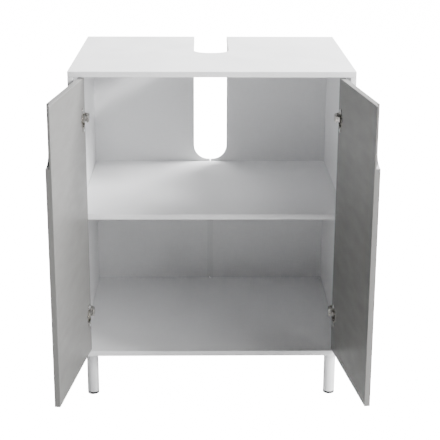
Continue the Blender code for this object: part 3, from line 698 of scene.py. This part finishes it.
hinges = {
    "doorEdge": 0.0082, "pivotBehindFront": 0.0006, "doorThickness": 0.012, "cupFromEdge": 0.0191,
    "cupRadius": 0.0155, "cupWall": 0.0009, "cupDepth": 0.0100, "rim": 0.0012, "flange": 0.0012,
    "seat": 0.0003, "columns": 96, "stampShare": 0.30, "stampSlope": 0.36, "stampHeight": 0.0006,
    "floorRound": 0.0022, "mouthRound": 0.0007, "rimRound": 0.0005, "baseRound": 0.0014,
    "floorSteps": 6, "roundSteps": 4, "notchHeight": 0.0175, "notchDepth": 0.0020,
}
ears = {"start": 0.0150, "end": 0.026, "width": 0.012, "startRound": 0.0010, "endRound": 0.8,
        "cornerSteps": 7, "edge": 0.00045, "edgeSteps": 4, "screwFromTip": 0.005, "screwLift": 0.0003,
        "screwRadius": 0.0030, "screwLength": 0.0105, "screwTurn": 0.5, "endTurn": 0.35,
        "sideTurn": 0.2}


def leafPlace(label):
    # The leaf's pivot and the world directions of its own x, y and z with the door open.
    side = sides[label]
    pivot = joints[label + "_door_hinge"]["pos_m"]
    turn = side * openAngle
    along = -side * np.array([math.cos(turn), math.sin(turn), 0])
    out = np.array([-math.sin(turn), math.cos(turn), 0])
    return (along, out, np.array([0, 0, 1.0])), np.array([pivot[0], pivot[1], 0])


def cupRings(face, spec):
    # A turned cup about y: stamped floor, round foot, wall, rolled rim, seat, outer wall and base.
    # Beside the door's edge, between z = -notchHeight / 2 and notchHeight / 2, the wall is cut down
    # to notchDepth below the face and drawn in to the cup's radius.
    seat, top = face + spec["seat"], face + spec["seat"] + spec["flange"]
    base, radius = face - spec["cupDepth"], spec["cupRadius"]
    floor, inner, outer = base + spec["cupWall"], radius - spec["cupWall"], radius + spec["rim"]
    stamp, foot, mouth = floor + spec["stampHeight"], spec["floorRound"], spec["mouthRound"]
    roll, under, steps = spec["rimRound"], spec["baseRound"], spec["roundSteps"]
    profile = ([(0, stamp), (inner * spec["stampShare"], stamp), (inner * spec["stampSlope"], floor)]
               + arc((inner - foot, floor + foot), foot, -90, 0, spec["floorSteps"])
               + arc((inner + mouth, top - mouth), mouth, 180, 90, steps)
               + arc((outer - roll, top - roll), roll, 90, 0, steps)
               + [(outer, seat), (radius, seat), (radius, base + under)]
               + arc((radius - under, base + under), under, 0, -90, steps) + [(0, base)])
    rings = turnedRings(profile, spec["columns"])[..., [0, 2, 1]] * (1, 1, -1)
    x, y, z = rings[..., 0], rings[..., 1], rings[..., 2]
    notched = (x < -radius / 2) & (np.abs(z) < spec["notchHeight"] / 2)
    y = np.where(notched, np.minimum(y, face - spec["notchDepth"]), y)
    away = np.hypot(x, z)
    draw = np.where(notched & (away > radius), radius / np.maximum(away, tiny), 1.0)
    return np.stack([x * draw, y, z * draw], axis=-1)


def addCup(label, level, spec):
    # The cup and its two ears, plates with round ends above and below it, are one stamping.
    name = f"{label}_{level}_hinge_cup"
    low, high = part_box(name)
    axes, origin = leafPlace(label)
    face = spec["doorThickness"] - spec["pivotBehindFront"]
    seat, top = face + spec["seat"], face + spec["seat"] + spec["flange"]
    shape = Shape().add(cupRings(face, spec), caps=(False, False))
    half, start, end = ears["width"] / 2, ears["start"], ears["end"]
    corners = [(-half, start, ears["startRound"]), (half, start, ears["startRound"]),
               (half, end, half * ears["endRound"]), (-half, end, half * ears["endRound"])]
    flipped = [(x, -y, radius) for x, y, radius in corners[::-1]]
    for outline in (flipped, corners):
        loop = roundedLoop(outline, ears["cornerSteps"])
        ear, _, _ = slabRings(loop, seat, top, ears["edge"], "XZ", ears["edgeSteps"])
        shape.add(ear)
    centre = origin + (spec["cupFromEdge"] - spec["doorEdge"]) * axes[0] + (low.z + high.z) / 2 * axes[2]
    finishPiece(name + "_finish", shape.mesh("cup", lambda p: placed(p, axes, centre)), "nickel_steel",
                label + "_door_leaf", [name])
    offset = end - ears["screwFromTip"]
    for way, endLabel in ((-1, "lower"), (1, "upper")):
        place = centre + axes[1] * (top + ears["screwLift"]) + axes[2] * way * offset
        turn = ears["screwTurn"] + way * ears["endTurn"] + ears["sideTurn"] * sides[label]
        addScrew(f"{name}_{endLabel}_screw_finish", place, axes[1], ears["screwRadius"],
                 ears["screwLength"], label + "_door_leaf", [f"{name}_{endLabel}_screw"], turn=turn)


for label in sides:
    for level in levels:
        addCup(label, level, hinges)
print("hinge cups made")


# Hinge arms: a U-shaped channel of sheet carried along its plan line, from the nose to the rear.


arms = {"height": 0.0165, "sheet": 0.0015, "bend": 0.0022, "innerBend": 0.0013, "bendSteps": 4,
        "seat": 0.0036,
        "crown": 0.0126, "crankFrom": 0.0200, "crankTo": 0.0440, "stations": 60, "noseStations": 8,
        "noseStart": 0.25, "bodyStart": 1.2, "crownPinch": 0.75, "seatPinch": 0.4}
rivets = {"radius": 0.0008, "chamfer": 0.0001, "chamferLength": 0.0002, "recess": 0.0004, "columns": 24}
armScrews = {"places": (0.52, 0.80), "lift": (0.0002, 0.0004), "radius": 0.0034, "length": 0.007,
             "firstTurn": 0.3, "nextTurn": 0.6, "sideTurn": 0.2}


def armSection(spec):
    # The channel's section as (height, depth below the crown), round the outside and back round the
    # inside. The four points of the two open edges have no depth, as they follow the seat line.
    half, sheet, bend, inner = spec["height"] / 2, spec["sheet"], spec["bend"], spec["innerBend"]
    t = np.linspace(0, math.pi / 2, spec["bendSteps"] + 1)
    fall, run, lift = 1 - np.sin(t), np.cos(t), 1 - np.cos(t)
    height = np.concatenate([[-half], -half + bend - bend * run, half - bend + bend * np.sin(t),
                             [half, half - sheet], half - sheet - inner + inner * run,
                             -half + sheet + inner - inner * np.sin(t), [-half + sheet]])
    depth = np.concatenate([[np.nan], bend * fall, bend * lift, [np.nan, np.nan],
                            sheet + inner * fall, sheet + inner * lift, [np.nan]])
    return height, depth


def armRings(spec, nose, rear):
    # Rows of (inward, back, height). Going back, crown and seat blend from the nose's two sides to
    # the arm's by a smooth step, and the nose narrows to its tip as a quarter circle.
    opening = 1 - np.cos(np.linspace(spec["noseStart"], 1, spec["noseStations"]) * math.pi / 2)
    back = np.concatenate([[nose["front"]], nose["front"] + nose["round"] * opening,
                           np.linspace(nose["front"] + nose["round"] * spec["bodyStart"], rear,
                                       spec["stations"])])
    share = np.clip((back - spec["crankFrom"]) / (spec["crankTo"] - spec["crankFrom"]), 0, 1)
    share = share * share * (3 - 2 * share)
    tip = np.clip((back - nose["front"]) / nose["round"], 0, 1)
    pinch = nose["round"] * (1 - np.sqrt(np.clip(1 - (1 - tip) ** 2, 0, 1))) * spec["crownPinch"]
    crown = nose["inner"] + (spec["crown"] - nose["inner"]) * share - pinch
    seat = nose["outer"] + (spec["seat"] - nose["outer"]) * share + pinch * spec["seatPinch"]
    height, depth = armSection(spec)
    inward = np.where(np.isnan(depth)[None], seat[:, None], crown[:, None] - np.nan_to_num(depth)[None])
    return np.stack(np.broadcast_arrays(inward, back[:, None], height[None]), axis=-1)


def addArm(label, level, spec):
    # inward is measured from the side board's inner face, and back from the carcass front.
    name = f"{label}_{level}_hinge_arm"
    side = sides[label]
    low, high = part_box(name)
    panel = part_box(label + "_side_panel")
    wall, front = min(abs(panel[0].x), abs(panel[1].x)), panel[0].y
    z = (low.z + high.z) / 2
    pin = joints[label + "_link_pivot"]["pos_m"]
    reach = wall - abs(pin[0])
    noseInner = wall - min(abs(low.x), abs(high.x))
    nose = {"front": low.y - front, "inner": noseInner, "outer": 2 * reach - noseInner,
            "round": noseInner - reach}
    rings = armRings(spec, nose, high.y - front)
    rings = np.stack([side * (wall - rings[..., 0]), front + rings[..., 1], z + rings[..., 2]], axis=-1)
    shape = Shape().add(rings)
    half, radius = (spec["height"] - rivets["recess"]) / 2, rivets["radius"]
    small, short = radius - rivets["chamfer"], half - rivets["chamferLength"]
    rivet = [(0, -half), (small, -half), (radius, -short), (radius, short), (small, half), (0, half)]
    shape.add(turnedRings(rivet, rivets["columns"]) + (pin[0], pin[1], z), caps=(False, False))
    finishPiece(name + "_finish", shape.mesh("arm"), "nickel_steel", "root", [name])
    for i, (share, lift) in enumerate(zip(armScrews["places"], armScrews["lift"])):
        place = (side * (wall - spec["crown"]) - side * lift, low.y + (high.y - low.y) * share, z)
        turn = armScrews["firstTurn"] + armScrews["nextTurn"] * i + armScrews["sideTurn"] * side
        addScrew(f"{name}_fixing_screw_{i + 1}", place, (-side, 0, 0), armScrews["radius"],
                 armScrews["length"], "root", turn=turn)


for label in sides:
    for level in levels:
        addArm(label, level, arms)
print("hinge arms made")


# Links: a flat bar with round ends, from the arm's pin to the pin's place in the cup.


links = {"radius": 0.0016, "roundShare": 0.999, "endSteps": 12, "height": 0.010, "edge": 0.0003,
         "edgeSteps": 3, "rim": 0.0001}


def addLink(label, level, spec):
    # An outline with half circles at both ends, drawn along the line between the two pins.
    name = f"{label}_{level}_hinge_link"
    low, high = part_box(name)
    z = (low.z + high.z) / 2
    pin = joints[label + "_link_pivot"]["pos_m"]
    radius = spec["radius"]
    far = np.array([low.x + radius if abs(low.x - pin[0]) > abs(high.x - pin[0]) else high.x - radius,
                    low.y + radius if abs(low.y - pin[1]) > abs(high.y - pin[1]) else high.y - radius])
    way = far - np.array(pin[:2])
    length = np.linalg.norm(way)
    way /= length
    outline = rectangle((-radius, -radius), (length + radius, radius), radius * spec["roundShare"])
    half = spec["height"] / 2
    rings, _, _ = slabRings(roundedLoop(outline, spec["endSteps"]), -half, half, spec["edge"], "XY",
                            spec["edgeSteps"], spec["rim"])
    shape = Shape().add(rings)
    axes = [(way[0], way[1], 0), (-way[1], way[0], 0), (0, 0, 1)]
    finishPiece(name + "_finish", shape.mesh("link", lambda p: placed(p, axes, (pin[0], pin[1], z))),
                "nickel_steel", label + "_links", [name])


for label in sides:
    for level in levels:
        addLink(label, level, links)
print("hinge links made")


# Mounting plates: a pressed cross with soft edges, and its two screws.


plates = {"length": 0.040, "bar": 0.012, "end": 0.010, "span": 0.044, "edge": 0.0006,
          "edgeSteps": 4, "tipRound": 0.002, "rootRound": 0.001, "cornerSteps": 6,
          "screwSpacing": 0.032, "screwLift": 0.0003, "screwRadius": 0.0030, "screwLength": 0.0105,
          "screwTurn": 0.7, "endTurn": 0.5}


def addPlate(label, level, spec):
    # Twelve corners of a cross, the four inner ones rounded the other way.
    name = f"{label}_{level}_mounting_plate"
    side = sides[label]
    low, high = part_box(name)
    y, z = (low.y + high.y) / 2, (low.z + high.z) / 2
    bar, tip, reach, span = (spec[key] / 2 for key in ("bar", "end", "length", "span"))
    corner, root = spec["tipRound"], spec["rootRound"]
    corners = [(-reach, -tip, corner), (-bar, -bar, root), (-tip, -span, corner), (tip, -span, corner),
               (bar, -bar, root), (reach, -tip, corner), (reach, tip, corner), (bar, bar, root),
               (tip, span, corner), (-tip, span, corner), (-bar, bar, root), (-reach, tip, corner)]
    corners = [(y + a, z + b, r) for a, b, r in corners]
    loop = roundedLoop(corners, spec["cornerSteps"])
    rings, _, _ = slabRings(loop, low.x, high.x, spec["edge"], "YZ", spec["edgeSteps"])
    shape = Shape().add(rings)
    finishPiece(name + "_finish", shape.mesh("plate"), "nickel_steel", "root", [name])
    face = low.x if side > 0 else high.x
    for way, end in ((-1, "lower"), (1, "upper")):
        place = (face - side * spec["screwLift"], y, z + way * spec["screwSpacing"] / 2)
        addScrew(f"{name}_{end}_screw_finish", place, (-side, 0, 0), spec["screwRadius"],
                 spec["screwLength"], "root", [f"{name}_{end}_screw"],
                 turn=spec["screwTurn"] + spec["endTurn"] * way)


for label in sides:
    for level in levels:
        addPlate(label, level, plates)
print("mounting plates made")


# Joining strip: an H section with rounded lips carried up the back.


strip = {"web": 0.0008, "flange": 0.001, "webReach": 0.0006, "round": 0.00035, "roundSteps": 5,
         "edge": 0.00015, "edgeSteps": 2, "rim": 0.0001, "webRound": 0.0001, "webSteps": 2,
         "webEdge": 0.00005}


def addStrip(spec):
    # Each flange is a plate with rounded sides; the web stands between them.
    low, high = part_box("back_joining_strip")
    shape, steps = Shape(), spec["edgeSteps"]
    for a, b in ((low.y, low.y + spec["flange"]), (high.y - spec["flange"], high.y)):
        loop = roundedLoop(rectangle((low.x, a), (high.x, b), spec["round"]), spec["roundSteps"])
        rings, _, _ = slabRings(loop, low.z, high.z, spec["edge"], "XY", steps, spec["rim"])
        shape.add(rings)
    half, reach = spec["web"] / 2, spec["webReach"]
    outline = rectangle((-half, low.y + reach), (half, high.y - reach), spec["webRound"])
    rings, _, _ = slabRings(roundedLoop(outline, spec["webSteps"]), low.z, high.z, spec["webEdge"],
                            "XY", steps, spec["webEdge"])
    shape.add(rings)
    finishPiece("back_joining_strip_finish", shape.mesh("strip"), "strip_plastic", "root",
                ["back_joining_strip"])


addStrip(strip)
print("joining strip made")


# Doors: the solid's loose triangles are merged into flat faces, and its sharp outer edges are
# rounded. The rims of the cup holes, which the hinge cups cover, stay as they are.


doors = {"edge": 0.0007, "segments": 3, "flat": 0.5, "sharp": 50, "clear": 0.024, "crease": 16}


def addDoor(label, spec):
    # Rounded: each outward edge over the sharp angle whose middle is clear of both cups.
    name = label + "_door"
    mesh = frame["nodes"][name].data.copy()
    bm = bmesh.new()
    bm.from_mesh(mesh)
    bmesh.ops.remove_doubles(bm, verts=bm.verts, dist=tiny)
    bmesh.ops.dissolve_limit(bm, angle_limit=math.radians(spec["flat"]), verts=bm.verts, edges=bm.edges)
    cups = [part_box(f"{label}_{level}_hinge_cup") for level in levels]
    centres = [(low + high) / 2 for low, high in cups]
    chosen = []
    for edge in bm.edges:
        middle = (edge.verts[0].co + edge.verts[1].co) / 2
        away = min((middle - centre).length for centre in centres)
        if (len(edge.link_faces) == 2 and edge.is_convex and away > spec["clear"]
                and edge.calc_face_angle() > math.radians(spec["sharp"])):
            chosen.append(edge)
    bmesh.ops.bevel(bm, geom=chosen, offset=spec["edge"], offset_type="OFFSET", affect="EDGES",
                    segments=spec["segments"], profile=0.5, clamp_overlap=True)
    bm.to_mesh(mesh)
    bm.free()
    mesh.materials.clear()
    for layer in ("band", "seam"):
        mesh.attributes.new(layer, "FLOAT", "FACE")
    finishPiece(name + "_finish", mesh, "grey_board", label + "_door_leaf", [name], spec["crease"])


for label in sides:
    addDoor(label, doors)
print("doors made")


# Floor and lights


lighting = {
    "world": 0.07, "target": (0, -0.1, 0.42), "distance": 3.6,
    "boxes": {
        "frontRight": {"azimuth": 45, "elevation": 20, "size": 1.8, "power": 112},
        "sideRight": {"azimuth": 60, "elevation": 30, "size": 0.5, "power": 190},
        "rearRight": {"azimuth": 130, "elevation": 50, "size": 2.0, "power": 537},
        "rear": {"azimuth": 180, "elevation": 50, "size": 2.4, "power": 118},
    },
}
floors = {"half": 30.0, "dark": (0.62, 0.62, 0.625), "light": (0.64, 0.64, 0.64), "cloudScale": 0.8,
          "roughness": 0.9, "glow": 16.0}


def addLight(name, spec):
    # A square soft box at distance x (sin a cos e, -cos a cos e, sin e) from the target, facing it.
    data = bpy.data.lights.new(name, "AREA")
    data.size = spec["size"]
    data.energy = spec["power"]
    obj = bpy.data.objects.new(name, data)
    bpy.context.scene.collection.objects.link(obj)
    a, e = math.radians(spec["azimuth"]), math.radians(spec["elevation"])
    away = Vector((math.sin(a) * math.cos(e), -math.cos(a) * math.cos(e), math.sin(e)))
    obj.location = Vector(lighting["target"]) + away * lighting["distance"]
    obj.rotation_euler = (-away).to_track_quat("-Z", "Y").to_euler()


def makeFloor(spec):
    # A pale matt floor that glows only for the eye, so that it lights nothing.
    material, tree, shader, place = newMaterial("studioFloor")
    cloud = spread(tree, noise(tree, place, spec["cloudScale"]), 0.0, 1.0)
    base = blendColour(tree, cloud, colour(spec["dark"]), colour(spec["light"]))
    tree.links.new(base, shader.inputs["Base Color"])
    shader.inputs["Roughness"].default_value = spec["roughness"]
    seen = tree.nodes.new("ShaderNodeLightPath").outputs["Is Camera Ray"]
    shader.inputs["Emission Color"].default_value = (1, 1, 1, 1)
    tree.links.new(combine(tree, "MULTIPLY", seen, spec["glow"]), shader.inputs["Emission Strength"])
    return material


def addStage():
    # One large square floor, an even pale world and the soft boxes.
    mesh = bpy.data.meshes.new("studioFloor")
    corners = floors["half"] * np.array([(-1, -1, 0), (1, -1, 0), (1, 1, 0), (-1, 1, 0)])
    mesh.from_pydata(corners.tolist(), [], [(0, 1, 2, 3)])
    mesh.materials.append(makeFloor(floors))
    floor = bpy.data.objects.new("studioFloor", mesh)
    bpy.context.scene.collection.objects.link(floor)
    world = bpy.data.worlds.new("studio")
    world.use_nodes = True
    background = world.node_tree.nodes["Background"]
    background.inputs["Color"].default_value = (1, 1, 1, 1)
    background.inputs["Strength"].default_value = lighting["world"]
    bpy.context.scene.world = world
    for name, spec in lighting["boxes"].items():
        addLight(name, spec)


addStage()
print("stage made")
